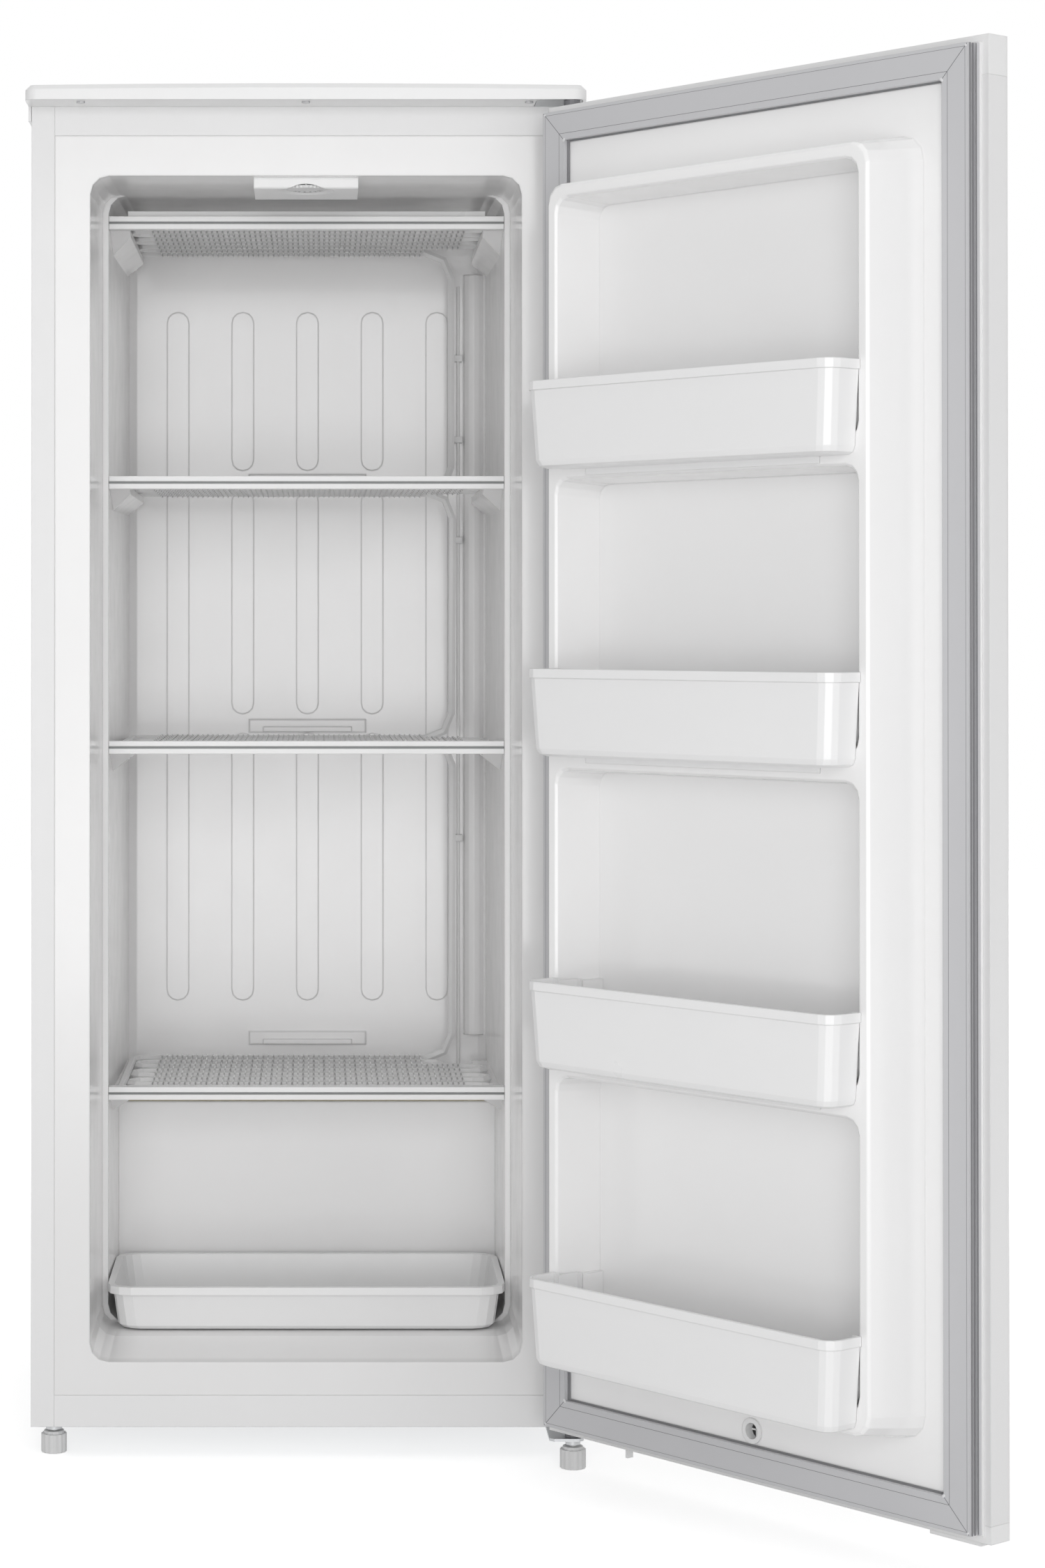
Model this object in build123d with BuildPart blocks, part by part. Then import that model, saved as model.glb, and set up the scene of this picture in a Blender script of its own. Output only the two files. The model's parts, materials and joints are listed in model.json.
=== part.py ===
"""Upright freezer with one door, four evaporator shelves, four door bins and a loose tray.

Millimetres. +X to the hinge side, +Y to the back, +Z up. The pieces are drawn with x = 0 midway
between the cabinet's sides, y = 0 in its front plane and the door closed. They are saved with the door
turned open and with the origin on the floor, on the door's hinge axis, under the foot that stands there.
"""
import os
from math import cos, pi, sin

from build123d import *

os.makedirs("parts", exist_ok=True)

# ---- cabinet -------------------------------------------------------------------------------------
cabinet_width = 598.0
cabinet_depth = 600.0
cabinet_bottom = 33.0        # height of the base above the floor
cabinet_top = 1469.0
sheet = 1.0                  # painted steel sheet
front_flange = 25.2          # the shell's sides turned in at the front
back_flange = 16.0
liner_wall = 2.0
header_height = 31.7
bottom_rail_height = 34.1
rail_depth = 18.0

# ---- inner space ---------------------------------------------------------------------------------
mouth_width = 470.0
mouth_bottom = 103.4
mouth_top = 1393.5
mouth_radius = 20.0
sill_depth = 95.0            # the floor rises over this depth
floor_height = 112.0
step_depth = 168.0           # the side walls step in behind this depth
step_run = 4.0
room_width = 451.0           # between the side walls just behind the step
room_back_width = 443.0
room_depth = 535.0
back_chamfer = 9.0
hump_front = 345.0           # the compressor hump, across the whole width
hump_top = 344.0
hump_chamfer = 7.0

# ---- wall relief ---------------------------------------------------------------------------------
rib_spacing = 80.6
rib_width = 27.0
rib_rise = 2.5
rib_bottom = 438.0
rib_top = 1294.0
rib_gaps = ((1072.0, 1097.0), (770.0, 794.0))     # the three middle ribs stop behind shelves 2 and 3
pocket_width = 147.0
pocket_bar_width = 112.0
pocket_levels = (1084.0, 779.0, 391.0)
column_radius = 13.0
column_x = 207.0
column_levels = (396.0, 1340.0)

# ---- evaporator shelves --------------------------------------------------------------------------
shelf_levels = (1362.8, 1066.6, 764.8, 371.3)
tube_diameter = 8.0
bend_steps = 5               # straight pieces in each half turn
chord_share = 0.29           # how far a rounded corner's middle stays from the corner
row_count = 8
row_pitch = 40.5
front_row = 200.0
bar_x = -214.0               # centre of the tube run along the left side
bend_left = -209.0           # outer ends of the bends
bend_right = 217.0
exit_x = 142.0               # where the last two rows leave for the riser
wire_size = 1.8
wire_pitch = 6.2
wire_left = -178.0
wire_right = 184.0
trim_front = 171.5
trim_depth = 16.0
trim_height = 14.6
trim_wall = 1.6
groove_height = 2.6
groove_depth = 1.2
trim_clearance = 0.3
corbel_width = 23.0
corbel_lip = 8.0
corbel_height = 27.0
corbel_front = 192.0
corbel_run = 60.0            # how far the corbel's front leans back
corbel_back = 500.0
riser_x = 177.0
riser_radius = 32.0
capillary_diameter = 4.0
capillary_x = 187.5
clip_levels = (1236.0, 1135.0, 1010.0, 640.0)

# ---- thermostat ----------------------------------------------------------------------------------
housing_width = 114.4
housing_front = 12.0
housing_depth = 96.0
housing_height = 12.5
housing_wall = 2.0
dial_radius = 22.0
dial_thickness = 3.0
dial_teeth = 30
dial_center = 36.0           # distance of the dial's axis behind the cabinet's front
dial_bore_clearance = 0.05
stem_radius = 3.0

# ---- tray ----------------------------------------------------------------------------------------
tray_front = 110.0
tray_depth = 214.0
tray_top_width = 437.0
tray_height = 49.0
tray_draft = 6.0
tray_wall = 2.5
tray_rim = 5.0
tray_rim_height = 9.0
tray_corner = 22.0
tray_clearance = 0.3
tray_pad = 1.5               # feet under the tray
tray_foot = 4.0              # slope where the tray's sides meet its floor

# ---- worktop -------------------------------------------------------------------------------------
worktop_width = 605.0
worktop_front = 51.0         # overhang in front of the cabinet
worktop_height = 18.0
worktop_crown = 2.0
worktop_corner = 12.0
worktop_edge = 5.0
skirt_height = 16.0
skirt_gap = 0.5
screw_x = (-243.0, 0.0, 241.0)
screw_y = -36.0
screw_radius = 4.5
screw_rise = 2.0

# ---- feet and base -------------------------------------------------------------------------------
foot_radius = 14.0
foot_height = 20.0
foot_collar = 3.0
foot_ribs = 14
stud_radius = 4.0
left_foot_x = -276.0
left_foot_y = 30.0
rear_foot_radius = 15.0
rear_foot_x = 265.0
rear_foot_y = 570.0
bay_front = 402.0            # compressor bay, open at the back
bay_top = 288.0

# ---- door ----------------------------------------------------------------------------------------
open_angle = 129.75          # the door stands this far open
hinge_x = 286.8
hinge_y = -42.4
door_width = 598.0
door_bottom = 41.2
door_top = 1459.9
door_front = -51.4
door_back = -19.4            # rear edge of the skin's sides
door_plane = -9.0            # flat of the door liner inside the gasket
door_edge_radius = 7.0
door_return = 12.0           # the skin's edge turned in behind the gasket
cap_top_height = 38.0
cap_bottom_height = 17.0
gasket_width = 33.4
gasket_outer = 579.2
gasket_bottom = 49.5
gasket_top = 1452.0
gasket_gap = 0.3
flange_margin = 1.5
gasket_face = -1.2           # gasket face when the door is closed, just clear of the cabinet
dike_width = 458.0           # raised frame of the door liner, at its foot
dike_bottom = 127.0
dike_top = 1372.0
dike_face = 60.0
dike_taper = 10.5            # how far each outer side leans in over the dike's height
dike_rim = 13.5
dike_corner = 24.0
pocket_taper = 4.0
pocket_corner = 16.0
pocket_floor = 1.0
dike_edge = 2.5
pocket_spans = ((1082.0, 1347.0), (782.0, 1055.0), (464.0, 754.0), (160.0, 436.0))

# ---- door bins -----------------------------------------------------------------------------------
bin_tops = (1155.0, 859.0, 538.0, 233.0)
bin_width = 417.0
bin_front = 102.0
bin_height = 90.0
bin_wall = 2.2
bin_draft = 5.5
bin_rim = 9.5
bin_rim_step = 1.8
bin_corner = 14.0
bin_foot = 8.0               # height over which the lower edges round off
bin_gap = 0.3
ear_reach = 28.0             # how far the bin's narrower back reaches into the pocket
ledge_width = 7.0            # ledges on the pockets' sides, behind the ears
ledge_low = 62.0
ledge_high = 4.0
ear_low_wall = 30.0
lip_width = 318.0
lip_drop = 7.0

# ---- lock and hinges -----------------------------------------------------------------------------
lock_x = -6.0
lock_z = 97.0
lock_radius = 8.0
lock_ring_radius = 13.0
lock_ring_rise = 2.0
lock_clearance = 0.05
pin_radius = 4.0
pin_clearance = 0.05
bush_radius = 7.0
bush_flange = 9.0
bracket_thickness = 3.0

half_width = cabinet_width / 2
inner_half = half_width - front_flange
liner_bottom = cabinet_bottom + bottom_rail_height
liner_top = cabinet_top - header_height
corner_steps = 3             # chords in each rounded corner
HINGE = Axis((hinge_x, hinge_y, 0), (0, 0, 1))
UP = (Align.CENTER, Align.CENTER, Align.MIN)     # a cylinder or box that stands on its plane


def save(made, name, opened=False):
    """Write one finished piece with the hinge axis at the origin, turned open if it rides on the door."""
    piece = made.part.rotate(HINGE, open_angle) if opened else made.part
    piece = piece.moved(Location((-hinge_x, -hinge_y, 0)))
    piece.label = name
    export_step(piece, f"parts/{name}.step")


def plane_y(y):
    """Upright plane at depth y: sketch X is +X, sketch Y is +Z, and its normal points to the front."""
    return Plane.XZ.offset(-y)


def block(x0, x1, y0, y1, z0, z1, mode=Mode.ADD):
    """A box between two corners, in the part that is being built."""
    with Locations(((x0 + x1) / 2, (y0 + y1) / 2, (z0 + z1) / 2)):
        Box(x1 - x0, y1 - y0, z1 - z0, mode=mode)


def corner(x, y, radius, start):
    """Points along a quarter turn of a rounded corner, as short chords."""
    angles = [start + pi / 2 * n / corner_steps for n in range(corner_steps + 1)]
    return [(x + radius * cos(a), y + radius * sin(a)) for a in angles]


def rounded(width, height, radius, middle=(0, 0)):
    """Sketch face of a rectangle with rounded corners, added to the sketch that is being built."""
    x, y = width / 2 - radius, height / 2 - radius
    points = []
    for quarter, (side, end) in enumerate(((1, 1), (-1, 1), (-1, -1), (1, -1))):
        points += corner(middle[0] + side * x, middle[1] + end * y, radius, quarter * pi / 2)
    Polygon(*points, align=None)


def prism(sides, ends, middle):
    """Upright many-sided body between two (height, radius) ends."""
    with BuildPart() as body:
        for height, radius in ends:
            with BuildSketch(Plane.XY.offset(height)):
                with Locations(middle):
                    RegularPolygon(radius, sides)
        loft(ruled=True)
    return body.part


def drum(sides, radius, low, high, middle, rims):
    """Upright many-sided body whose ends (0 below, -1 above) slope off by (end, inset, fall)."""
    with BuildPart() as body:
        with BuildSketch(Plane.XY.offset(low)):
            with Locations(middle):
                RegularPolygon(radius, sides)
        extrude(amount=high - low)
        for end, inset, fall in rims:
            cap = faces().sort_by(Axis.Z)[end]
            chamfer(cap.edges(), inset, fall, reference=cap)
    return body.part


# ---- inner space: the void, and the outside of the liner round it --------------------------------
stations = (
    (0.0, mouth_width / 2, mouth_bottom),
    (sill_depth, mouth_width / 2 - 1.7, floor_height),
    (step_depth, mouth_width / 2 - 3.0, floor_height),
    (step_depth + step_run, room_width / 2, floor_height),
    (room_depth, room_back_width / 2, floor_height),
)


def room(grow):
    """The inner space as a solid, grown on every side but the front."""
    with BuildPart() as space:
        for y, half, floor in stations:
            height = mouth_top - floor + 2 * grow
            back = grow if y == room_depth else 0.0
            with BuildSketch(plane_y(y + back)):
                rounded(2 * (half + grow), height, mouth_radius + grow, (0, (mouth_top + floor) / 2))
        loft(ruled=True)
        chamfer(space.faces().sort_by(Axis.Y)[-1].edges(), back_chamfer)
        block(-half_width, half_width, hump_front + grow, room_depth + 40, 0, hump_top - grow, Mode.SUBTRACT)
    return space.part


with BuildPart() as corbel:      # shelf support on the right wall, its top at Z = 0
    corbel_wall = room_width / 2 + 1
    corbel_inner = room_width / 2 - corbel_width
    with BuildSketch(plane_y(corbel_front)):
        with BuildLine():
            Polyline(
                (corbel_wall, 0), (corbel_inner, 0), (corbel_inner, -corbel_lip),
                (corbel_wall, -corbel_height), close=True,
            )
        make_face()
    extrude(amount=corbel_front - corbel_back)
    lean = Vector(0, -corbel_height, -corbel_run)
    split(bisect_by=Plane(origin=(0, corbel_front, 0), x_dir=(1, 0, 0), z_dir=lean), keep=Keep.BOTTOM)

with BuildPart() as relief:      # all that stands out of the liner's walls
    for level in shelf_levels:
        with Locations((0, 0, level - tube_diameter / 2)):
            add(corbel.part)
    mirror(about=Plane.YZ)
    for n in range(-2, 3):
        spans = [rib_bottom, rib_top]
        if abs(n) < 2:
            for low, high in rib_gaps:
                spans[1:1] = [low, high]
        spans.sort()
        for low, high in zip(spans[::2], spans[1::2]):
            with BuildSketch(plane_y(room_depth + 1)):
                rounded(rib_width, high - low, rib_width / 2 - 0.5, (n * rib_spacing, (low + high) / 2))
            extrude(amount=rib_rise + 1)
    for level in pocket_levels:
        with BuildSketch(plane_y(room_depth + 1)):
            with Locations((0, level)):
                Rectangle(pocket_width, 18)
        extrude(amount=rib_rise + 3, taper=20)
        with BuildSketch(plane_y(room_depth + 1)):
            with Locations((0, level - 4)):
                Rectangle(pocket_bar_width, 8)
        extrude(amount=rib_rise + 7, taper=8)
    with BuildSketch(Plane.XY.offset(column_levels[0])):
        with Locations((column_x, room_depth)):
            RegularPolygon(column_radius, 12)
    extrude(amount=column_levels[1] - column_levels[0])

with BuildPart() as void:
    add(room(0))
    chamfer(void.edges().filter_by(Axis.X).filter_by_position(Axis.Y, hump_front - 1, hump_front + 1)
            .sort_by(Axis.Z)[-1], hump_chamfer)
    add(relief.part, mode=Mode.SUBTRACT)

envelope = room(liner_wall)

with BuildPart() as liner:
    add(envelope)
    block(-inner_half, inner_half, 0, liner_wall, liner_bottom, liner_top)
    add(void.part, mode=Mode.SUBTRACT)
save(liner, "liner")

# ---- steel cabinet -------------------------------------------------------------------------------
with BuildPart() as outer_shell:
    block(-half_width, half_width, 0, cabinet_depth, cabinet_bottom, cabinet_top)
    block(-half_width + sheet, half_width - sheet, sheet, cabinet_depth - sheet,
          cabinet_bottom, cabinet_top - sheet, Mode.SUBTRACT)
    block(-inner_half, inner_half, 0, sheet, cabinet_bottom, cabinet_top, Mode.SUBTRACT)
    back_half = half_width - back_flange
    block(-back_half, back_half, cabinet_depth - sheet, cabinet_depth,
          cabinet_bottom, cabinet_top - back_flange, Mode.SUBTRACT)
save(outer_shell, "outer_shell")

with BuildPart() as header_rail:
    block(-inner_half, inner_half, 0, rail_depth, liner_top, cabinet_top - sheet)
    block(-inner_half, inner_half, sheet, rail_depth,
          liner_top + sheet, cabinet_top - 2 * sheet, Mode.SUBTRACT)
    block(-inner_half, inner_half, 0, sheet, cabinet_top - sheet, cabinet_top)
save(header_rail, "header_rail")

with BuildPart() as bottom_rail:
    block(-inner_half, inner_half, 0, rail_depth, cabinet_bottom, liner_bottom)
    block(-inner_half, inner_half, sheet, rail_depth,
          cabinet_bottom, liner_bottom - sheet, Mode.SUBTRACT)
save(bottom_rail, "bottom_rail")

inside = half_width - sheet
back_inside = cabinet_depth - 2 * sheet

with BuildPart() as back_panel:
    block(-inside, inside, back_inside, back_inside + sheet, bay_top + sheet, cabinet_top - sheet)
save(back_panel, "back_panel")

with BuildPart() as hump_panel:
    block(-inside, inside, bay_front - sheet, back_inside + sheet, cabinet_bottom + sheet, bay_top + sheet)
    block(-inside, inside, bay_front, back_inside + sheet, cabinet_bottom + sheet, bay_top, Mode.SUBTRACT)
save(hump_panel, "hump_panel")

coil_pitch = 88.0
coil_rows = 9
coil_half = 230.0
coil_bottom = 430.0
coil_size = 6.0

with BuildPart() as cabinet_foam:
    block(-inside, inside, sheet, back_inside, cabinet_bottom + sheet, cabinet_top - sheet)
    block(-inside, inside, bay_front - sheet, back_inside, cabinet_bottom, bay_top + sheet, Mode.SUBTRACT)
    block(-inner_half, inner_half, 0, liner_wall, liner_bottom, liner_top, Mode.SUBTRACT)
    block(-coil_half - coil_pitch / 2, coil_half + coil_pitch / 2, back_inside - coil_size, back_inside,
          coil_bottom - coil_size, coil_bottom + (coil_rows - 1) * coil_pitch + coil_size, Mode.SUBTRACT)
    add(envelope, mode=Mode.SUBTRACT)
    add(header_rail.part, mode=Mode.SUBTRACT)
    add(bottom_rail.part, mode=Mode.SUBTRACT)
save(cabinet_foam, "cabinet_foam")


with BuildPart() as condenser_coil:     # lies in the foam's pocket, against the back panel
    coil_points = []
    for n in range(coil_rows):
        level, side = coil_bottom + n * coil_pitch, 1 if n % 2 else -1
        coil_points += [(side * coil_half, level), (-side * coil_half, level)]
    with BuildLine(plane_y(back_inside - coil_size / 2)) as coil_path:
        Polyline(*coil_points)
    with BuildSketch(Plane.YZ.offset(-coil_half)):
        with Locations((back_inside - coil_size / 2, coil_bottom)):
            Rectangle(coil_size, coil_size)
    sweep(path=coil_path.wire(), transition=Transition.RIGHT)
save(condenser_coil, "condenser_coil")

# ---- evaporator shelves --------------------------------------------------------------------------
rows = [front_row + n * row_pitch for n in range(row_count)]
tube_radius = tube_diameter / 2
last_row, exit_row, wall_row = rows[-1], rows[-2], rows[-3]
trim_back = trim_front + trim_depth
trim_half = room_width / 2 - trim_clearance


def tube_section(start, direction):
    """Six-sided tube section with flat top and bottom, across a run that starts in a direction."""
    across = Plane(origin=start, x_dir=(-direction[1], direction[0], 0), z_dir=direction)
    with BuildSketch(across) as section:
        RegularPolygon(tube_radius, 6, major_radius=False)
    return section.sketch


def turn(x, y, radius, side):
    """Points along a half turn from the row at depth y to the next, bulging to one side in X."""
    steps = [pi * n / bend_steps for n in range(bend_steps + 1)]
    return [(x + side * radius * sin(a), y + radius * (1 - cos(a))) for a in steps]


def shelf_tube(level):
    """One flat serpentine: back row, run along the left side, then rows joined by bends, to the exit."""
    radius = row_pitch / 2
    left, right = bend_left + tube_radius + radius, bend_right - tube_radius - radius
    cut = 2 * tube_radius
    points = [
        (exit_x, last_row), (bar_x + cut, last_row), (bar_x, last_row - cut),
        (bar_x, rows[0] + cut), (bar_x + cut, rows[0]),
    ]
    for n in range(row_count - 2):
        side, end = (1, right) if n % 2 == 0 else (-1, left)
        points += turn(end, rows[n], radius, side)
    points.append((exit_x, exit_row))
    with BuildPart() as tube:
        with BuildLine(Plane.XY.offset(level)) as path:
            Polyline(*points)
        sweep(tube_section((exit_x, last_row, level), (-1, 0, 0)), path.wire(), transition=Transition.RIGHT)
    return tube


def shelf_wires(level):
    """Three-sided wires from the trim to the back row, over and under the tubes; short ones at the exit."""
    count = int((wire_right - wire_left) / wire_pitch) + 1
    spots = [wire_left + n * wire_pitch for n in range(count)]
    front = trim_front + trim_depth / 2
    with BuildPart() as wires:
        for short, row in ((False, last_row), (True, wall_row)):
            with BuildSketch(plane_y(front)):
                for side, every in ((-1, 1), (1, 2)):
                    rise = level + side * (tube_radius + wire_size / 3)
                    with Locations(*[(x, rise) for x in spots[::every] if (x > exit_x - wire_size) == short]):
                        RegularPolygon(wire_size * 2 / 3, 3, rotation=90 * side)
            extrude(amount=front - row - tube_radius)
    return wires


def shelf_trim(level):
    """Front trim: a channel that grips the wires' ends, with a groove along its face."""
    slot = tube_radius + wire_size + 0.1
    with BuildPart() as trim:
        block(-trim_half, trim_half, trim_front, trim_back, level - trim_height / 2, level + trim_height / 2)
        block(-trim_half + trim_wall, trim_half - trim_wall, trim_front + trim_depth / 2 - 1, trim_back,
              level - slot, level + slot, Mode.SUBTRACT)
        block(-trim_half, trim_half, trim_front, trim_front + groove_depth,
              level - groove_height / 2, level + groove_height / 2, Mode.SUBTRACT)
    return trim


for number, level in enumerate(shelf_levels, 1):
    save(shelf_tube(level), f"shelf_tube_{number}")
    save(shelf_wires(level), f"shelf_wires_{number}")
    save(shelf_trim(level), f"shelf_trim_{number}")

guard_half = 204.5
guard_depth = 26.0
guard_height = 9.2
with BuildPart() as coil_guard:          # low strip standing on the front of the top shelf
    guard_base = shelf_levels[0] + tube_radius + wire_size
    block(-guard_half, guard_half, trim_back + 0.5, trim_back + guard_depth,
          guard_base, guard_base + guard_height)
    block(-guard_half, guard_half, trim_back + 2, trim_back + guard_depth,
          guard_base, guard_base + guard_height - 1.5, Mode.SUBTRACT)
save(coil_guard, "coil_guard")


def pipe(points, radius, section):
    """A tube of a given section along straight runs, its corners rounded off by short chords."""
    points = [Vector(*point) for point in points]
    rounded = [points[0]]
    for before, corner, after in zip(points, points[1:], points[2:]):
        back, ahead = (before - corner).normalized(), (after - corner).normalized()
        middle = corner + (back + ahead) * radius * chord_share
        rounded += [corner + back * radius, middle, corner + ahead * radius]
    with BuildPart() as tube:
        with BuildLine() as path:
            Polyline(*rounded, points[-1])
        sweep(section, path.wire(), transition=Transition.RIGHT)
    return tube


with BuildPart() as evaporator_risers:
    for number, (upper, lower) in enumerate(zip(shelf_levels, shelf_levels[1:])):
        row = exit_row if number else last_row
        riser = pipe(
            ((exit_x, row, upper), (riser_x, row, upper), (riser_x, last_row, lower),
             (exit_x, last_row, lower)), riser_radius, tube_section((exit_x, row, upper), (1, 0, 0)),
        )
        add(riser.part)
save(evaporator_risers, "evaporator_risers")

base_level = shelf_levels[-1]
suction_line = pipe(
    ((exit_x, exit_row, base_level), (riser_x, exit_row, base_level), (riser_x, exit_row, hump_top)),
    20.0, tube_section((exit_x, exit_row, base_level), (1, 0, 0)),
)
save(suction_line, "suction_line")

capillary_y = room_depth - 8.0
capillary_top = 1325.0
with BuildPart() as capillary_line:
    block(capillary_x - capillary_diameter / 2, capillary_x + capillary_diameter / 2,
          capillary_y - capillary_diameter / 2, capillary_y + capillary_diameter / 2, hump_top, capillary_top)
    chamfer(capillary_line.edges().filter_by(Axis.Z), 1.1)
    block(capillary_x - 1.5, capillary_x + 1.5, capillary_y, room_depth, capillary_top - 3, capillary_top)
save(capillary_line, "capillary_line")

with BuildPart() as pipe_clips:
    for level in clip_levels:
        block(capillary_x - 5, capillary_x + 5, capillary_y - 4, room_depth, level - 4, level + 4)
        block(capillary_x - 2.1, capillary_x + 2.1, capillary_y - 2.1, capillary_y + 2.1,
              level - 4, level + 4, Mode.SUBTRACT)
save(pipe_clips, "pipe_clips")

# ---- thermostat ----------------------------------------------------------------------------------
housing_half = housing_width / 2
housing_bottom = mouth_top - housing_height
housing_back = housing_front + housing_depth
dial_recess = 6.0                        # depth of the conical recess round the dial
dial_level = housing_bottom + 1.5
with BuildPart() as thermostat_housing:
    block(-housing_half, housing_half, housing_front, housing_back, housing_bottom, mouth_top)
    chamfer(thermostat_housing.edges().filter_by(Axis.X).group_by(Axis.Z)[0], 1.5)
    block(-housing_half + housing_wall, housing_half - housing_wall, housing_front + housing_wall,
          housing_back - housing_wall, housing_bottom + dial_recess + 1.5, mouth_top, Mode.SUBTRACT)
    block(-housing_half + housing_wall, housing_half - housing_wall, dial_center + dial_radius + 6,
          housing_back - housing_wall, housing_bottom + housing_wall, mouth_top, Mode.SUBTRACT)
    recess = ((housing_bottom, dial_radius + 9), (housing_bottom + dial_recess, dial_radius + 1))
    add(prism(28, recess, (0, dial_center)), mode=Mode.SUBTRACT)
    play = stem_radius + 0.5
    block(-play, play, dial_center - play, dial_center + play, housing_bottom, mouth_top, Mode.SUBTRACT)
save(thermostat_housing, "thermostat_housing")

with BuildPart() as thermostat_dial:
    with BuildSketch(Plane.XY.offset(dial_level)):
        with BuildLine():
            teeth = [
                (
                    (dial_radius - 1.2 * (n % 2)) * cos(pi * n / dial_teeth),
                    dial_center + (dial_radius - 1.2 * (n % 2)) * sin(pi * n / dial_teeth),
                )
                for n in range(2 * dial_teeth)
            ]
            Polyline(*teeth, close=True)
        make_face()
    extrude(amount=dial_thickness)
    with Locations((0, dial_center, (dial_level + mouth_top - 1.0) / 2)):
        Cylinder(stem_radius, mouth_top - 1.0 - dial_level)
save(thermostat_dial, "thermostat_dial")

with BuildPart() as thermostat_body:     # the switch inside the housing, with the bore that carries the dial
    block(-16, 16, dial_center - 14, housing_back - 8, housing_bottom + dial_recess + 1.8, mouth_top - 0.3)
    block(-26, 26, dial_center + dial_radius + 8, housing_back - 6, housing_bottom + 2.3, mouth_top - 0.3)
    with Locations((0, dial_center, mouth_top - 5)):
        Cylinder(stem_radius + dial_bore_clearance, 12, mode=Mode.SUBTRACT)
save(thermostat_body, "thermostat_body")

# ---- tray ----------------------------------------------------------------------------------------
tray_bottom = floor_height + tray_clearance + tray_pad
tray_top = tray_bottom + tray_height
tray_middle = tray_front + tray_depth / 2


def tray_form(inset, low, high):
    """The tray's tapered body between two levels, drawn in by an inset."""
    with BuildPart() as form:
        for level, draft in (
            (low, tray_draft + tray_foot), (low + tray_foot, tray_draft), (high, 0.0),
        ):
            with BuildSketch(Plane.XY.offset(level)):
                rounded(
                    tray_top_width - 2 * (inset + draft), tray_depth - 2 * (tray_rim + inset + draft),
                    tray_corner - inset, (0, tray_middle),
                )
        loft(ruled=True)
    return form.part


with BuildPart() as tray:
    add(tray_form(0, tray_bottom, tray_top))
    with BuildSketch(Plane.XY.offset(tray_top - tray_rim_height)):
        rounded(tray_top_width + 2 * tray_rim, tray_depth, tray_corner + tray_rim, (0, tray_middle))
    extrude(amount=tray_rim_height)
    add(tray_form(tray_wall, tray_bottom + tray_wall, tray_top), mode=Mode.SUBTRACT)
    with BuildSketch(Plane.XY.offset(tray_bottom)):
        with Locations((0, tray_middle)):
            with GridLocations(314, tray_depth - 80, 2, 2):
                Rectangle(14, 8)
    extrude(amount=-tray_pad)
save(tray, "tray")

# ---- worktop -------------------------------------------------------------------------------------
worktop_half = worktop_width / 2
worktop_top = cabinet_top + worktop_height
bracket_width = 49.0
bracket_back = 40.0
bracket_front = -49.0
bracket_corner = 10.0
bracket_length = bracket_back - bracket_front
bracket_x = half_width - 1 - bracket_width / 2
bracket_y = (bracket_back + bracket_front) / 2
with BuildPart() as worktop:
    with BuildSketch(plane_y(cabinet_depth)):
        with BuildLine():
            side = worktop_top - worktop_crown
            Polyline(
                (worktop_half, side), (worktop_half, cabinet_top), (-worktop_half, cabinet_top),
                (-worktop_half, side),
            )
            ThreePointArc((-worktop_half, side), (0, worktop_top), (worktop_half, side))
        make_face()
    extrude(amount=cabinet_depth + worktop_front)
    fillet(worktop.edges().filter_by(Axis.Z).group_by(Axis.Y)[0], worktop_corner)
    chamfer(worktop.faces().sort_by(Axis.Z)[-1].edges(), worktop_edge)
    for side in (-1, 1):
        near, far = side * (half_width + skirt_gap), side * worktop_half
        block(min(near, far), max(near, far), 2, cabinet_depth, cabinet_top - skirt_height, cabinet_top)
    with BuildSketch(Plane.XY.offset(cabinet_top)):
        with Locations((bracket_x, bracket_y)):
            RectangleRounded(bracket_width + 2 * skirt_gap, bracket_length + 2 * skirt_gap,
                             bracket_corner + skirt_gap)
    extrude(amount=2 * bracket_thickness + skirt_gap, mode=Mode.SUBTRACT)
save(worktop, "worktop")

with BuildPart() as worktop_screws:      # heads seated on the underside of the front lip
    with BuildSketch(Plane.XY.offset(cabinet_top - screw_rise)):
        with Locations(*[(x, screw_y) for x in screw_x]):
            RegularPolygon(screw_radius, 8)
    extrude(amount=screw_rise)
save(worktop_screws, "worktop_screws")

# ---- hinges --------------------------------------------------------------------------------------
hole_radius = stud_radius + 0.05
with BuildPart() as top_hinge_bracket:
    with BuildSketch(Plane.XY.offset(cabinet_top)):
        with Locations((bracket_x, bracket_y)):
            RectangleRounded(bracket_width, bracket_length, bracket_corner)
    extrude(amount=bracket_thickness)
save(top_hinge_bracket, "top_hinge_bracket")

pin_reach = 16.0             # how far each pin goes into the door
with BuildPart() as top_hinge_pin:
    pin_low = door_top - pin_reach
    with Locations((hinge_x, hinge_y, (pin_low + cabinet_top) / 2)):
        Cylinder(pin_radius, cabinet_top - pin_low)
save(top_hinge_pin, "top_hinge_pin")

bracket_low = cabinet_bottom - bracket_thickness
boss_low = bracket_low - 5
with BuildPart() as bottom_hinge_bracket:
    block(half_width - 38, half_width - 1, bracket_front - 6, bracket_back + 20,
          bracket_low, cabinet_bottom)
    chamfer(bottom_hinge_bracket.edges().filter_by(Axis.Z), 5)
    with Locations((hinge_x, hinge_y, (boss_low + bracket_low) / 2)):
        Cylinder(8, bracket_low - boss_low)
    with Locations((hinge_x, hinge_y, boss_low + 3)):
        Cylinder(hole_radius, 6, mode=Mode.SUBTRACT)
save(bottom_hinge_bracket, "bottom_hinge_bracket")

with BuildPart() as bottom_hinge_pin:
    pin_top = door_bottom + pin_reach
    with Locations((hinge_x, hinge_y, (cabinet_bottom + pin_top) / 2)):
        Cylinder(pin_radius, pin_top - cabinet_bottom)
save(bottom_hinge_pin, "bottom_hinge_pin")

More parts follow.
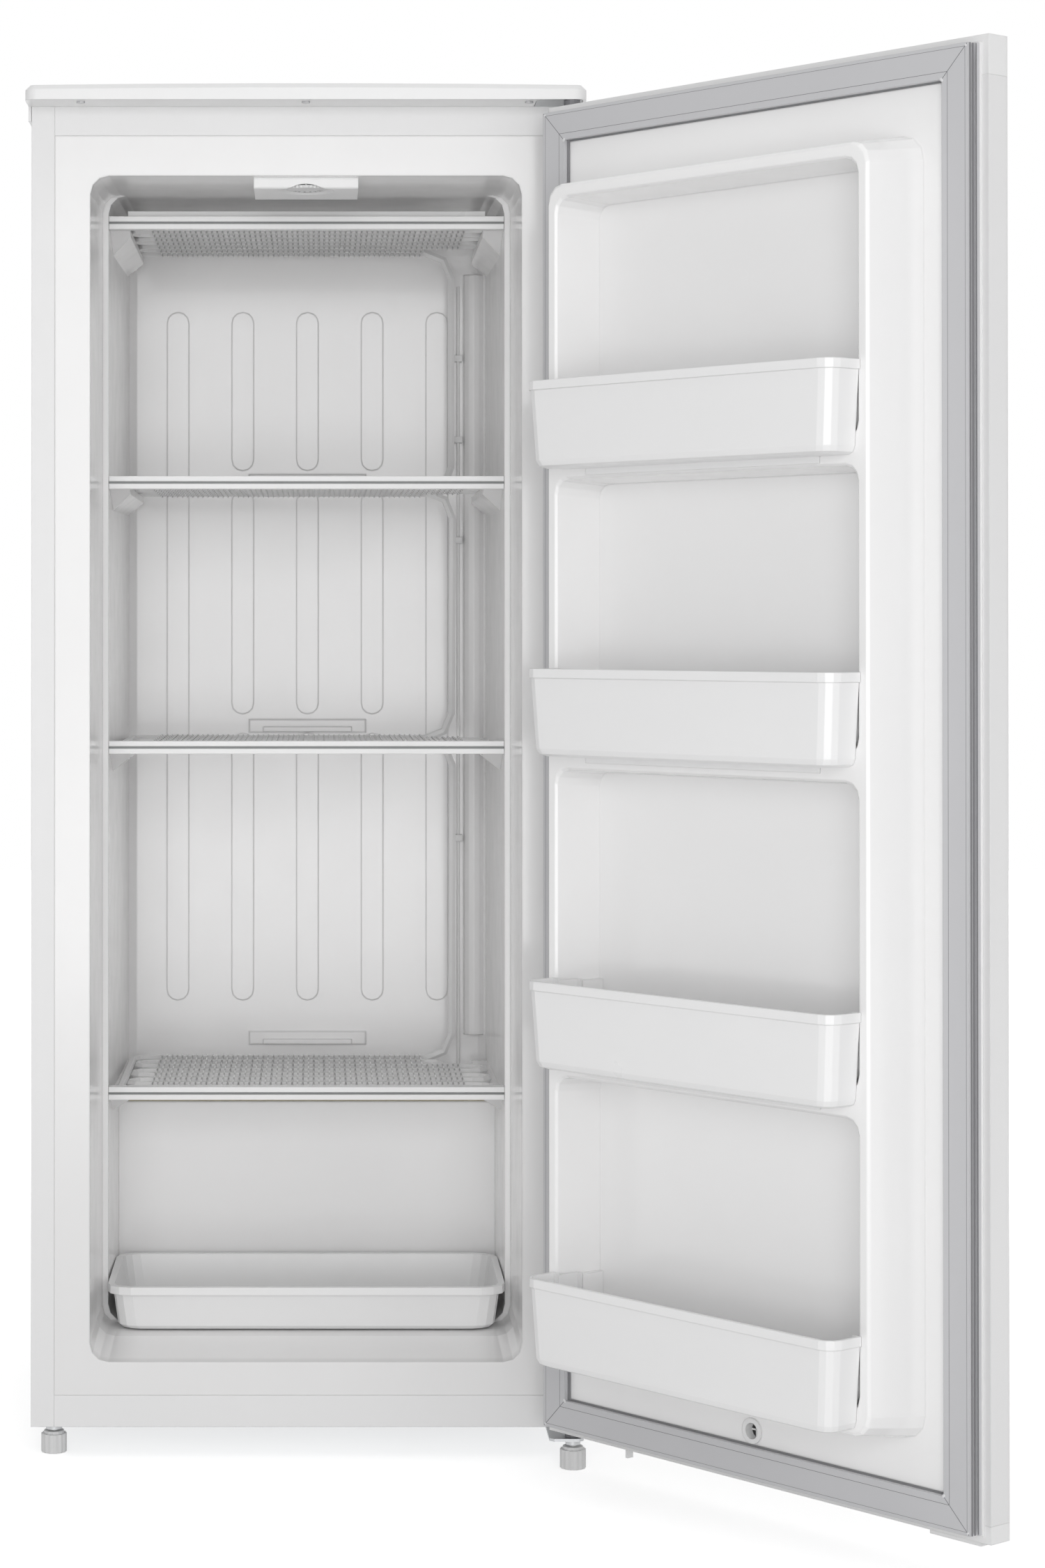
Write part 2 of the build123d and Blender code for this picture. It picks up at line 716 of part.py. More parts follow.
with BuildPart() as hinge_screws:        # hexagon heads that hold the two brackets
    for spots, low in (
        (((half_width - 15, 22), (half_width - 38, 22)), cabinet_top + bracket_thickness),
        (((half_width - 18, 22), (half_width - 18, 45)), bracket_low - screw_rise),
    ):
        with BuildSketch(Plane.XY.offset(low)):
            with Locations(*spots):
                RegularPolygon(screw_radius, 6)
        extrude(amount=screw_rise)
save(hinge_screws, "hinge_screws")

# ---- feet ----------------------------------------------------------------------------------------
def levelling_foot(x, y):
    """Fluted knob on the floor, with a collar and a steel stud."""
    with BuildPart() as foot:
        with BuildSketch():
            with BuildLine():
                flutes = [
                    (
                        x + (foot_radius - 0.9 * (n % 2)) * cos(pi * n / foot_ribs),
                        y + (foot_radius - 0.9 * (n % 2)) * sin(pi * n / foot_ribs),
                    )
                    for n in range(2 * foot_ribs)
                ]
                Polyline(*flutes, close=True)
            make_face()
        extrude(amount=foot_height)
        add(prism(12, ((foot_height, foot_radius - 3), (foot_height + foot_collar, foot_radius - 3)), (x, y)))
        with Locations((x, y, foot_height)):
            Cylinder(stud_radius, bracket_low - foot_height - bin_gap, align=UP)
    return foot


with BuildPart() as base_plate:          # with the threaded boss for the left foot
    block(-inside, inside, sheet, bay_front, cabinet_bottom, cabinet_bottom + sheet)
    with Locations((left_foot_x, left_foot_y, (boss_low + cabinet_bottom) / 2)):
        Cylinder(9, cabinet_bottom - boss_low)
    with Locations((left_foot_x, left_foot_y, boss_low + 3)):
        Cylinder(hole_radius, 6, mode=Mode.SUBTRACT)
save(base_plate, "base_plate")

save(levelling_foot(left_foot_x, left_foot_y), "front_left_foot")
save(levelling_foot(hinge_x, hinge_y), "front_right_foot")

with BuildPart() as rear_feet:
    for side in (-1, 1):
        add(prism(16, ((0, rear_foot_radius), (cabinet_bottom, rear_foot_radius - 3)),
                  (side * rear_foot_x, rear_foot_y)))
save(rear_feet, "rear_feet")

# ---- compressor bay ------------------------------------------------------------------------------
base_lip = 22.0
compressor_x = 60.0
compressor_y = 502.0
compressor_radius = 72.0
compressor_height = 168.0
grommet_height = 9.0
base_top = cabinet_bottom + 2 * sheet
mount_level = base_top + grommet_height
can_bottom = mount_level + 3.0
with BuildPart() as compressor_base:     # floor of the bay, its sides turned up against the shell
    block(-inside, inside, bay_front, back_inside, cabinet_bottom, cabinet_bottom + base_lip)
    block(-inside + 2 * sheet, inside - 2 * sheet, bay_front, back_inside, base_top,
          cabinet_bottom + base_lip, Mode.SUBTRACT)
save(compressor_base, "compressor_base")

with BuildPart() as compressor_grommets:
    with Locations((compressor_x, compressor_y, base_top)):
        with GridLocations(150, 90, 2, 2):
            Box(16, 16, grommet_height, align=UP)
save(compressor_grommets, "compressor_grommets")

with BuildPart() as compressor:          # welded steel can on its foot plate
    with BuildSketch(Plane.XY.offset(mount_level)):
        with Locations((compressor_x, compressor_y)):
            RectangleRounded(176, 116, 12)
    extrude(amount=can_bottom - mount_level)
    shoulder = compressor_radius * 0.62
    add(prism(20, ((mount_level, shoulder), (can_bottom, shoulder)), (compressor_x, compressor_y)))
    add(drum(20, compressor_radius, can_bottom, can_bottom + compressor_height, (compressor_x, compressor_y),
             ((0, compressor_radius - shoulder, 30), (-1, 20, 40), (-1, compressor_radius * 2 / 3 - 20, 10))))
save(compressor, "compressor")

relay_x = compressor_x - compressor_radius
with BuildPart() as start_relay:         # terminal cover on the can, with the mouth for a supply lead
    block(relay_x - 30, relay_x - 4, compressor_y - 24, compressor_y + 24, can_bottom + 36, can_bottom + 84)
    block(relay_x - 23, relay_x - 11, compressor_y + 24, compressor_y + 32, can_bottom + 40, can_bottom + 52)
    block(relay_x - 4, relay_x - 0.6, compressor_y - 8, compressor_y + 8, can_bottom + 50, can_bottom + 70)
save(start_relay, "start_relay")

copper_radius = 3.5
copper_bend = 20.0


def copper(points):
    """Copper pipe along straight runs."""
    first, second = Vector(*points[0]), Vector(*points[1])
    with BuildSketch(Plane(origin=first, z_dir=second - first)) as section:
        RegularPolygon(copper_radius, 6)
    return pipe(points, copper_bend, section.sketch)


pipe_y = compressor_y - 40
pipe_side = compressor_x + compressor_radius - 9
drier_x = compressor_x - 200
drier_z = 150.0
drier_height = 90.0
drier_radius = 10.0
with BuildPart() as filter_drier:
    taper = drier_radius - copper_radius
    add(drum(12, drier_radius, drier_z, drier_z + drier_height, (drier_x, pipe_y),
             ((0, taper, 12), (-1, taper, 12))))
save(filter_drier, "filter_drier")

suction_pipe = copper(
    ((pipe_side, pipe_y, can_bottom + 70), (pipe_side + 50, pipe_y, can_bottom + 70),
     (pipe_side + 50, pipe_y, bay_top)),
)
discharge_pipe = copper(
    ((compressor_x - 62.5, pipe_y, can_bottom + 30), (drier_x, pipe_y, can_bottom + 30),
     (drier_x, pipe_y, drier_z)),
)
with BuildPart() as compressor_pipes:
    add(suction_pipe.part)
    add(discharge_pipe.part)
    with Locations((drier_x, pipe_y, drier_z + drier_height)):
        Box(copper_radius, copper_radius, bay_top - drier_z - drier_height, align=UP)
save(compressor_pipes, "compressor_pipes")

# ---- door, drawn closed --------------------------------------------------------------------------
door_half = door_width / 2
skin_low = door_bottom + cap_bottom_height
skin_high = door_top - cap_top_height
cap_wall = 2.0
plateau_half = gasket_outer / 2 - gasket_width - 2 * gasket_gap
plateau_low = gasket_bottom + gasket_width + 2 * gasket_gap
plateau_high = gasket_top - gasket_width - 2 * gasket_gap


def pan(low, high, inset):
    """The door's outline, rounded at the front, drawn in by an inset and raised between two levels."""
    with BuildPart() as form:
        with BuildSketch(Plane.XY.offset(low)):
            with Locations((0, (door_front + door_back) / 2)):
                Rectangle(door_width - 2 * inset, door_back - door_front - 2 * inset)
            fillet(vertices().group_by(Axis.Y)[0], door_edge_radius - inset)
        extrude(amount=high - low)
    return form.part


def bush_places():
    """Top and bottom of each hinge bush's body inside the door."""
    return (door_top - pin_reach - 2, door_top), (door_bottom, door_bottom + pin_reach + 2)


lock_place = Plane(origin=(lock_x, door_front, lock_z), z_dir=(0, 1, 0))
lock_shell = lock_radius + 2.5

with BuildPart() as door_skin:           # painted steel pan, its edges turned in behind the gasket
    add(pan(skin_low, skin_high, 0))
    add(pan(skin_low, skin_high, sheet), mode=Mode.SUBTRACT)
    block(-door_half + door_return, door_half - door_return, door_back - sheet, door_back,
          skin_low, skin_high, Mode.SUBTRACT)
    with Locations(lock_place):
        Cylinder(lock_shell, 10, mode=Mode.SUBTRACT)
save(door_skin, "door_skin", opened=True)

with BuildPart() as door_cap_top:
    add(pan(skin_high, door_top, 0))
    add(pan(skin_high, door_top - cap_wall, cap_wall), mode=Mode.SUBTRACT)
    with Locations((hinge_x, hinge_y, door_top)):
        Cylinder(bush_radius, 10, mode=Mode.SUBTRACT)
save(door_cap_top, "door_cap_top", opened=True)

fin_x = 190.0
with BuildPart() as door_cap_bottom:     # with a stop fin near the hinge and a low lip at the free side
    add(pan(door_bottom, skin_low, 0))
    add(pan(door_bottom + cap_wall, skin_low, cap_wall), mode=Mode.SUBTRACT)
    block(fin_x - 1.5, fin_x + 1.5, -35, -27, door_bottom - 11, door_bottom)
    block(-281, -219, -42, -27, door_bottom - 6, door_bottom)
    with Locations((hinge_x, hinge_y, door_bottom)):
        Cylinder(bush_radius, 10, mode=Mode.SUBTRACT)
save(door_cap_bottom, "door_cap_bottom", opened=True)


def upright(width, low, high, y, radius):
    """Rounded rectangle between two levels, in the upright plane at depth y."""
    with BuildSketch(plane_y(y)) as face:
        rounded(width, high - low, radius, (0, (low + high) / 2))
    return face.sketch


bin_bottoms = [top - bin_height for top in bin_tops]
dike_root = door_plane - liner_wall


def dike_form(grow, root):
    """Raised frame of the door liner with its four pockets, grown by an amount and rooted at a depth."""
    face = dike_face + grow
    edge = dike_edge if grow == 0 else 0.0
    lean = dike_taper * (face - edge - root) / (face - root)
    with BuildPart() as form:
        loft([
            upright(dike_width + 2 * (grow - inset), dike_bottom + inset - grow,
                    dike_top - inset + grow, y, dike_corner + grow - 0.4 * inset)
            for y, inset in ((root, 0.0), (face - edge, lean), (face, dike_taper + edge))
        ][::1 if edge else 2], ruled=True)
        mouth = dike_width - 2 * (dike_taper + dike_rim + grow)
        for low, high in pocket_spans:
            loft([
                upright(mouth - 2 * inset, low + grow + inset, high - grow - inset, y,
                        pocket_corner - grow - 0.4 * inset)
                for y, inset in ((face, -edge), (face - edge, 0.0), (pocket_floor + grow, pocket_taper))
            ][::1 if edge else 2], ruled=True, mode=Mode.SUBTRACT)
    return form.part


with BuildPart() as ledges:
    pocket_half = dike_width / 2 - dike_taper - dike_rim
    for top in bin_tops:
        for side in (-1, 1):
            near, far = side * (pocket_half - ledge_width - 2), side * (pocket_half + 2)
            block(min(near, far), max(near, far), pocket_floor - 1, dike_face - ear_reach - 1,
                  top - ledge_low, top - ledge_high)

core = dike_form(-liner_wall, dike_root - 1)
flange_half = door_half - 8

with BuildPart() as door_liner:
    block(-flange_half, flange_half, door_back, door_back + liner_wall,
          gasket_bottom - flange_margin, gasket_top + flange_margin)
    block(-plateau_half, plateau_half, door_back, door_plane, plateau_low, plateau_high)
    block(-plateau_half + liner_wall, plateau_half - liner_wall, door_back, dike_root,
          plateau_low + liner_wall, plateau_high - liner_wall, Mode.SUBTRACT)
    add(dike_form(0, dike_root))
    add(ledges.part)
    add(core, mode=Mode.SUBTRACT)
    with Locations(lock_place):
        Cylinder(lock_shell, 120, mode=Mode.SUBTRACT)
save(door_liner, "door_liner", opened=True)

with BuildPart() as door_foam:
    add(pan(skin_low, skin_high, sheet))
    add(pan(door_bottom + cap_wall, skin_low, cap_wall))
    add(pan(skin_high, door_top - cap_wall, cap_wall))
    block(-door_half + door_return, door_half - door_return, door_back - sheet, door_back,
          skin_low, skin_high)
    block(-plateau_half + liner_wall, plateau_half - liner_wall, door_back, dike_root,
          plateau_low + liner_wall, plateau_high - liner_wall)
    add(core)
    for low, high in bush_places():
        with Locations((hinge_x, hinge_y, (low + high) / 2)):
            Cylinder(bush_radius, high - low, mode=Mode.SUBTRACT)
    add(door_cap_top.part, mode=Mode.SUBTRACT)
    add(door_cap_bottom.part, mode=Mode.SUBTRACT)
    with Locations(lock_place):
        Cylinder(lock_shell, 120, mode=Mode.SUBTRACT)
save(door_foam, "door_foam", opened=True)

seal_base = door_back + liner_wall
seal_middle = (gasket_top + gasket_bottom) / 2
seal_height = gasket_top - gasket_bottom
with BuildPart() as door_gasket:         # root strip, drawn-in bellows, and the strip that meets the cabinet
    for back, front, outer, inner in (
        (seal_base, seal_base + 4, 0.0, gasket_width),
        (seal_base + 4, gasket_face - 5, 4.0, gasket_width - 5),
        (gasket_face - 5, gasket_face, 0.8, gasket_width - 1),
    ):
        with BuildSketch(plane_y(front)):
            with Locations((0, seal_middle)):
                Rectangle(gasket_outer - 2 * outer, seal_height - 2 * outer)
                Rectangle(gasket_outer - 2 * inner, seal_height - 2 * inner, mode=Mode.SUBTRACT)
        extrude(amount=front - back)
save(door_gasket, "door_gasket", opened=True)

with BuildPart() as door_bushes:         # plastic bushes, their flanges just clear of the brackets
    for (low, high), flange in zip(bush_places(), (door_top, cabinet_bottom + bin_gap)):
        tall = (cabinet_top - bin_gap if flange == door_top else door_bottom) - flange
        add(prism(12, ((low, bush_radius), (high, bush_radius)), (hinge_x, hinge_y)))
        add(prism(12, ((flange, bush_flange), (flange + tall, bush_flange)), (hinge_x, hinge_y)))
    with Locations((hinge_x, hinge_y, 0)):
        Cylinder(pin_radius + pin_clearance, 3000, mode=Mode.SUBTRACT)
save(door_bushes, "door_bushes", opened=True)

# ---- lock ----------------------------------------------------------------------------------------
with BuildPart() as lock_case:           # barrel through the door with a bezel in front and a ring inside
    for sides, radius, back, front in (
        (12, lock_shell, door_plane, door_front), (20, lock_ring_radius, door_front, door_front - 1.5),
        (20, lock_ring_radius, door_plane + lock_ring_rise, door_plane),
    ):
        with BuildSketch(plane_y(back)):
            with Locations((lock_x, lock_z)):
                RegularPolygon(radius, sides)
        extrude(amount=back - front)
    with Locations(lock_place):
        Cylinder(lock_radius, 300, mode=Mode.SUBTRACT)
save(lock_case, "lock_case", opened=True)

with BuildPart() as lock_cylinder:       # turns in the barrel; key slot in front, crossed ribs inside
    lock_length = door_plane - door_front - 5
    with Locations(lock_place.offset(-2.5)):
        Cylinder(lock_radius - lock_clearance, lock_length, align=UP)
    with Locations(lock_place.offset(-2.5)):
        Box(2, 9, 8, mode=Mode.SUBTRACT)
    with BuildSketch(lock_place.offset(lock_length - 2.5)):
        RegularPolygon(lock_radius - 2, 8)
        Rectangle(2.4, 3 * lock_radius, mode=Mode.SUBTRACT)
    extrude(amount=-2.5, mode=Mode.SUBTRACT)
save(lock_cylinder, "lock_cylinder", opened=True)

# ---- door bins -----------------------------------------------------------------------------------
ear_half = pocket_half - 3.0
ear_corner = pocket_corner + 2
ear_back = dike_face - ear_reach
bin_back = dike_face + bin_gap


def bin_outline(level, inset, draft):
    """Plan of the bin's front body at a level, drawn in by an inset and by the draft of its walls."""
    half = bin_width / 2 - draft - inset
    front = bin_front - min(draft, bin_draft) / 2 - max(draft - bin_draft, 0.0) - inset
    back = bin_back + max(inset, 0.0)
    with BuildSketch(Plane.XY.offset(level)) as plan:
        radius = bin_corner - inset
        with BuildLine():
            Polyline(
                (half, back), *corner(half - radius, front - radius, radius, 0),
                *corner(radius - half, front - radius, radius, pi / 2), (-half, back), close=True,
            )
        make_face()
    return plan.sketch


def bin_form(inset, low, high):
    """The bin's front body between two levels, drawn in by an inset, its lower edges rounded."""
    with BuildPart() as form:
        loft([
            bin_outline(low + rise, inset, bin_draft + reach)
            for rise, reach in ((0.0, bin_foot), (bin_foot * 0.3, bin_foot * 0.3), (bin_foot, 0.0))
        ] + [bin_outline(high, inset, 0.0)], ruled=True)
    return form.part


for number, (top, bottom) in enumerate(zip(bin_tops, bin_bottoms), 1):
    sill = pocket_spans[number - 1][0] + pocket_taper * ear_reach / dike_face + bin_gap
    with BuildPart() as door_bin:
        add(bin_form(0.0, bottom, top))
        extrude(bin_outline(top - bin_rim, -bin_rim_step, bin_rim_step / 3), bin_rim)
        extrude(upright(2 * ear_half, sill, top + ear_corner, bin_back, ear_corner), bin_back - ear_back)
        block(-ear_half, ear_half, ear_back, bin_back, top - 2, top + ear_corner, Mode.SUBTRACT)
        add(bin_form(bin_wall, bottom + bin_wall, top), mode=Mode.SUBTRACT)
        extrude(
            upright(2 * (ear_half - bin_wall), sill + bin_wall, top + ear_corner, bin_back + 2 * bin_wall,
                    ear_corner - bin_wall),
            bin_back + bin_wall - ear_back, mode=Mode.SUBTRACT,
        )
        block(-ear_half + 3 * bin_wall, ear_half - 3 * bin_wall, ear_back - 1, ear_back + 2 * bin_wall,
              sill + ear_low_wall, top + 1, Mode.SUBTRACT)
        block(-lip_width / 2, lip_width / 2, bin_back, bin_back + bin_wall,
              bottom - lip_drop, bottom + bin_wall)
    save(door_bin, f"bin_{number}", opened=True)
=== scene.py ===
"""Looks for the upright freezer: procedural materials, small surface pieces, light and camera."""
import json
from math import cos, pi, radians, sin

import bmesh
import bpy
from mathutils import Matrix, Vector


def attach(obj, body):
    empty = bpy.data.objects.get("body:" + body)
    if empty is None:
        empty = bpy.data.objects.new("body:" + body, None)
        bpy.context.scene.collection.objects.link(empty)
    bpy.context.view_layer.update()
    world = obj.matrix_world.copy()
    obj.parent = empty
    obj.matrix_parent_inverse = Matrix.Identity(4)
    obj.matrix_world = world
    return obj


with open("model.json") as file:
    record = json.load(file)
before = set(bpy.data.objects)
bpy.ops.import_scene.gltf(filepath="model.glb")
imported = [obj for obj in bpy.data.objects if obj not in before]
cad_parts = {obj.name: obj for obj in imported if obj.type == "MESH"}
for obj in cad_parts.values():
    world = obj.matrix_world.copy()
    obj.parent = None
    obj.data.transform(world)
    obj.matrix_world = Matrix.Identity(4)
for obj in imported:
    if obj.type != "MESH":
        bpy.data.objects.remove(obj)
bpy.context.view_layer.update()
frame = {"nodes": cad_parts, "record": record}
scene = bpy.context.scene
nodes = frame["nodes"]

# ---- places, in mm from the middle of the cabinet's front edge on the floor ----------------------
HINGE_X, HINGE_Y = 286.8, -42.4           # the frame's origin lies on the hinge axis
OPEN = radians(129.75)                    # how far the door stands open
SHELVES = (1362.8, 1066.6, 764.8, 371.3)  # levels of the evaporator tubes


def at(x, y, z):
    """A point of the cabinet, in metres in the frame."""
    return Vector(((x - HINGE_X) / 1000, (y - HINGE_Y) / 1000, z / 1000))


def on_door(x, y, z):
    """A point of the closed door, turned open, in metres in the frame."""
    dx, dy = x - HINGE_X, y - HINGE_Y
    turned_x = dx * cos(OPEN) - dy * sin(OPEN)
    turned_y = dx * sin(OPEN) + dy * cos(OPEN)
    return Vector((turned_x / 1000, turned_y / 1000, z / 1000))


# ---- camera, fitted to the photo's straight edges ------------------------------------------------
camera = bpy.data.objects.new("camera", bpy.data.cameras.new("camera"))
scene.collection.objects.link(camera)
camera.location = at(12.5, -3694.0, 900.5)
camera.rotation_euler = (radians(90.455), 0, 0)
camera.data.sensor_fit = "VERTICAL"
camera.data.sensor_height = 36.0
camera.data.lens = 77.93
camera.data.shift_x = 0.1308
camera.data.shift_y = -0.1165
camera.data.clip_end = 60.0
scene.camera = camera


# ---- node helpers --------------------------------------------------------------------------------
def feed(tree, socket, value):
    """Links another node's output to a socket, or sets the socket to a plain value."""
    if isinstance(value, bpy.types.NodeSocket):
        tree.links.new(value, socket)
    else:
        socket.default_value = value


def calculate(tree, operation, first, second=0.0):
    """The output of a math node."""
    node = tree.nodes.new("ShaderNodeMath")
    node.operation = operation
    feed(tree, node.inputs[0], first)
    feed(tree, node.inputs[1], second)
    return node.outputs[0]


def map_range(tree, value, low, high, start, end, interpolation="LINEAR"):
    """A value's place between low and high, carried over to start and end."""
    node = tree.nodes.new("ShaderNodeMapRange")
    node.interpolation_type = interpolation
    for name, amount in (("Value", value), ("From Min", low), ("From Max", high),
                         ("To Min", start), ("To Max", end)):
        feed(tree, node.inputs[name], amount)
    return node.outputs["Result"]


# ---- materials -----------------------------------------------------------------------------------
PATCH_SCALE, GLOSS_SCALE, WAVE_SCALE = 7.0, 23.0, 9.0
GRAIN_DEPTH, WAVE_DEPTH = 0.0004, 0.004
COAT_ROUGHNESS = 0.08


def surface(name, color, rough, metallic=0.0, grain=0.0, grain_size=900.0, wave=0.0, edge=0.0,
            coat=0.0, tint=0.012, rough_spread=0.05):
    """A procedural surface: uneven colour and gloss, fine grain, slow waves and soft edges."""
    material = bpy.data.materials.new(name)
    material.use_nodes = True
    tree = material.node_tree
    shader = tree.nodes["Principled BSDF"]
    shader.inputs["Metallic"].default_value = metallic
    shader.inputs["Coat Weight"].default_value = coat
    shader.inputs["Coat Roughness"].default_value = COAT_ROUGHNESS
    place = tree.nodes.new("ShaderNodeTexCoord")

    def noise(scale):
        node = tree.nodes.new("ShaderNodeTexNoise")
        node.inputs["Scale"].default_value = scale
        node.inputs["Detail"].default_value = 3.0
        tree.links.new(place.outputs["Object"], node.inputs["Vector"])
        return node.outputs["Fac"]

    patches = tree.nodes.new("ShaderNodeMix")
    patches.data_type = "RGBA"
    patches.inputs["A"].default_value = (*[c * (1 - tint) for c in color], 1)
    patches.inputs["B"].default_value = (*[min(1.0, c * (1 + tint)) for c in color], 1)
    tree.links.new(noise(PATCH_SCALE), patches.inputs["Factor"])
    tree.links.new(patches.outputs["Result"], shader.inputs["Base Color"])
    gloss = map_range(tree, noise(GLOSS_SCALE), 0.0, 1.0, rough - rough_spread, rough + rough_spread)
    tree.links.new(gloss, shader.inputs["Roughness"])

    normal = None
    if edge:
        soft = tree.nodes.new("ShaderNodeBevel")
        soft.samples = 6
        soft.inputs["Radius"].default_value = edge
        normal = soft.outputs["Normal"]
    for scale, strength, depth in ((grain_size, grain, GRAIN_DEPTH), (WAVE_SCALE, wave, WAVE_DEPTH)):
        if strength:
            bump = tree.nodes.new("ShaderNodeBump")
            bump.inputs["Strength"].default_value = strength
            bump.inputs["Distance"].default_value = depth
            tree.links.new(noise(scale), bump.inputs["Height"])
            if normal:
                tree.links.new(normal, bump.inputs["Normal"])
            normal = bump.outputs["Normal"]
    if normal:
        tree.links.new(normal, shader.inputs["Normal"])
    return material


def depth_into_room(material):
    """A point's distance towards the back, in metres in the frame."""
    tree = material.node_tree
    place = tree.nodes.new("ShaderNodeTexCoord")
    split = tree.nodes.new("ShaderNodeSeparateXYZ")
    tree.links.new(place.outputs["Object"], split.inputs["Vector"])
    return split.outputs["Y"]


def dim(material, share):
    """Multiplies a material's base colour by a share that another node gives."""
    tree = material.node_tree
    colour = tree.nodes["Principled BSDF"].inputs["Base Color"]
    blend = tree.nodes.new("ShaderNodeMix")
    blend.data_type = "RGBA"
    blend.blend_type = "MULTIPLY"
    blend.inputs["Factor"].default_value = 1.0
    tree.links.new(colour.links[0].from_socket, blend.inputs["A"])
    tree.links.new(share, blend.inputs["B"])
    tree.links.new(blend.outputs["Result"], colour)


def shade_front(material, plane, reach, share):
    """Paints shade onto a surface: darkens it at its front plane and brings it to its full colour over
    the reach.
    """
    depth = depth_into_room(material)
    dim(material, map_range(material.node_tree, depth, plane, plane + reach, share, 1.0))


def shade_between_rows(material, first, pitch, share):
    """Paints shade onto the shelf wires: darkens them between the tube rows, where no tube lies behind
    them.
    """
    tree = material.node_tree
    past_first = calculate(tree, "SUBTRACT", depth_into_room(material), first)
    over_tube = calculate(tree, "COSINE", calculate(tree, "MULTIPLY", past_first, 2 * pi / pitch))
    dim(material, map_range(tree, over_tube, -0.6, 0.5, share, 1.0))


looks = {
    "shell_white": surface("painted_shell", (0.79, 0.788, 0.79), 0.34, grain=0.10, wave=0.05,
                           edge=0.0012),
    "liner_white": surface("formed_liner", (0.91, 0.907, 0.907), 0.22, wave=0.10, edge=0.0025,
                           coat=0.25),
    "trim_white": surface("moulded_white", (0.83, 0.83, 0.83), 0.30, wave=0.03, edge=0.0012),
    "bin_white": surface("bin_white", (0.875, 0.874, 0.876), 0.30, wave=0.04, edge=0.0016,
                         coat=0.08),
    "tube_white": surface("coated_wire", (0.86, 0.858, 0.857), 0.30, grain=0.2, grain_size=400,
                          edge=0.0008),
    "dial_white": surface("dial_white", (0.80, 0.80, 0.80), 0.45, edge=0.0003),
    "gasket_grey": surface("gasket_grey", (0.565, 0.565, 0.58), 0.50, grain=0.05, edge=0.0006),
    "foam": surface("foam", (0.66, 0.58, 0.36), 0.9, grain=0.6, grain_size=500),
    "steel_grey": surface("zinc_steel", (0.55, 0.56, 0.57), 0.42, metallic=0.9, grain=0.15,
                          tint=0.05),
    "pin_steel": surface("bright_steel", (0.52, 0.52, 0.53), 0.30, metallic=1.0, tint=0.04,
                         edge=0.0004),
    "foot_grey": surface("foot_grey", (0.70, 0.70, 0.70), 0.45, edge=0.0008),
    "bush_grey": surface("bush_grey", (0.17, 0.17, 0.18), 0.5),
    "compressor_black": surface("black_paint", (0.018, 0.018, 0.018), 0.38, grain=0.2, tint=0.2,
                                edge=0.003),
    "relay_black": surface("black_plastic", (0.02, 0.02, 0.02), 0.5, grain=0.3, tint=0.1,
                           edge=0.0008),
    "copper": surface("copper", (0.62, 0.27, 0.15), 0.32, metallic=1.0, tint=0.08),
    "rubber_black": surface("black_rubber", (0.022, 0.022, 0.022), 0.7, grain=0.3, tint=0.1),
    "lock_grey": surface("lock_chrome", (0.50, 0.50, 0.51), 0.25, metallic=1.0, tint=0.03,
                         edge=0.0003),
}
slot_of = {row["node"]: row["material_slot"] for row in frame["record"]["subparts"]}
for name, node in nodes.items():
    node.data.materials.clear()
    node.data.materials.append(looks[slot_of[name]])

FRONT_ROW, ROW_PITCH = 200.0, 40.5        # the tube rows, from the front one backwards
# the shelf wires' material, with painted shade between the tube rows
shaded_grid_wire = surface("shaded_grid_wire", (0.88, 0.878, 0.877), 0.30, edge=0.0004)
shade_between_rows(shaded_grid_wire, at(0, FRONT_ROW, 0).y, ROW_PITCH / 1000, 0.42)
for number in range(1, len(SHELVES) + 1):
    nodes[f"shelf_wires_{number}"].data.materials[0] = shaded_grid_wire

# painted light and shade: the cabinet's liner is a lighter copy of the liner white, standing for more
# light inside the room, and its front flange gets painted shade
cabinet_liner = surface("cabinet_liner", (0.95, 0.945, 0.945), 0.22, wave=0.10, edge=0.0025,
                        coat=0.25)
shade_front(cabinet_liner, at(0, 1.0, 0).y, 0.016, 0.83)
nodes["liner"].data.materials[0] = cabinet_liner

dark_strip_look = surface("groove_dark_strip", (0.17, 0.18, 0.18), 0.35, tint=0.06)
ink = surface("dial_ink", (0.02, 0.02, 0.02), 0.6, tint=0.1)
# painted shade for the gasket's creases, folds and mitre lines
crease_shade = surface("gasket_crease", (0.20, 0.20, 0.21), 0.7, tint=0.05)
weld = surface("gasket_weld", (0.70, 0.70, 0.71), 0.4)


# ---- small surface pieces ------------------------------------------------------------------------
PRINT = 0.03                              # how far a printed number or a crease stands out, in mm
BOX_FACES = [(0, 2, 3, 1), (4, 5, 7, 6), (0, 1, 5, 4), (2, 6, 7, 3), (0, 4, 6, 2), (1, 3, 7, 5)]


def piece(name, corners, faces, body, look):
    """A mesh piece from points that are already in the frame."""
    mesh = bpy.data.meshes.new(name)
    mesh.from_pydata([tuple(c) for c in corners], [], faces)
    mesh.update()
    mesh.materials.append(look)
    thing = bpy.data.objects.new(name, mesh)
    scene.collection.objects.link(thing)
    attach(thing, body)
    return thing


def boxes(name, spans, place, body, look):
    """One piece of several boxes, each given by its low and high corner in mm."""
    corners, faces = [], []
    for low, high in spans:
        start = len(corners)
        corners += [place(x, y, z) for x in (low[0], high[0]) for y in (low[1], high[1])
                    for z in (low[2], high[2])]
        faces += [tuple(start + n for n in face) for face in BOX_FACES]
    return piece(name, corners, faces, body, look)


# the dark strips in the grooves of the shelf trims
TRIM_HALF, STRIP_FRONT, STRIP_BACK, STRIP_HALF = 225.1, 172.25, 172.69, 1.1
for number, level in enumerate(SHELVES, 1):
    span = ((-TRIM_HALF, STRIP_FRONT, level - STRIP_HALF), (TRIM_HALF, STRIP_BACK, level + STRIP_HALF))
    boxes(f"trim_groove_strip_{number}", [span], at, "cabinet", dark_strip_look)

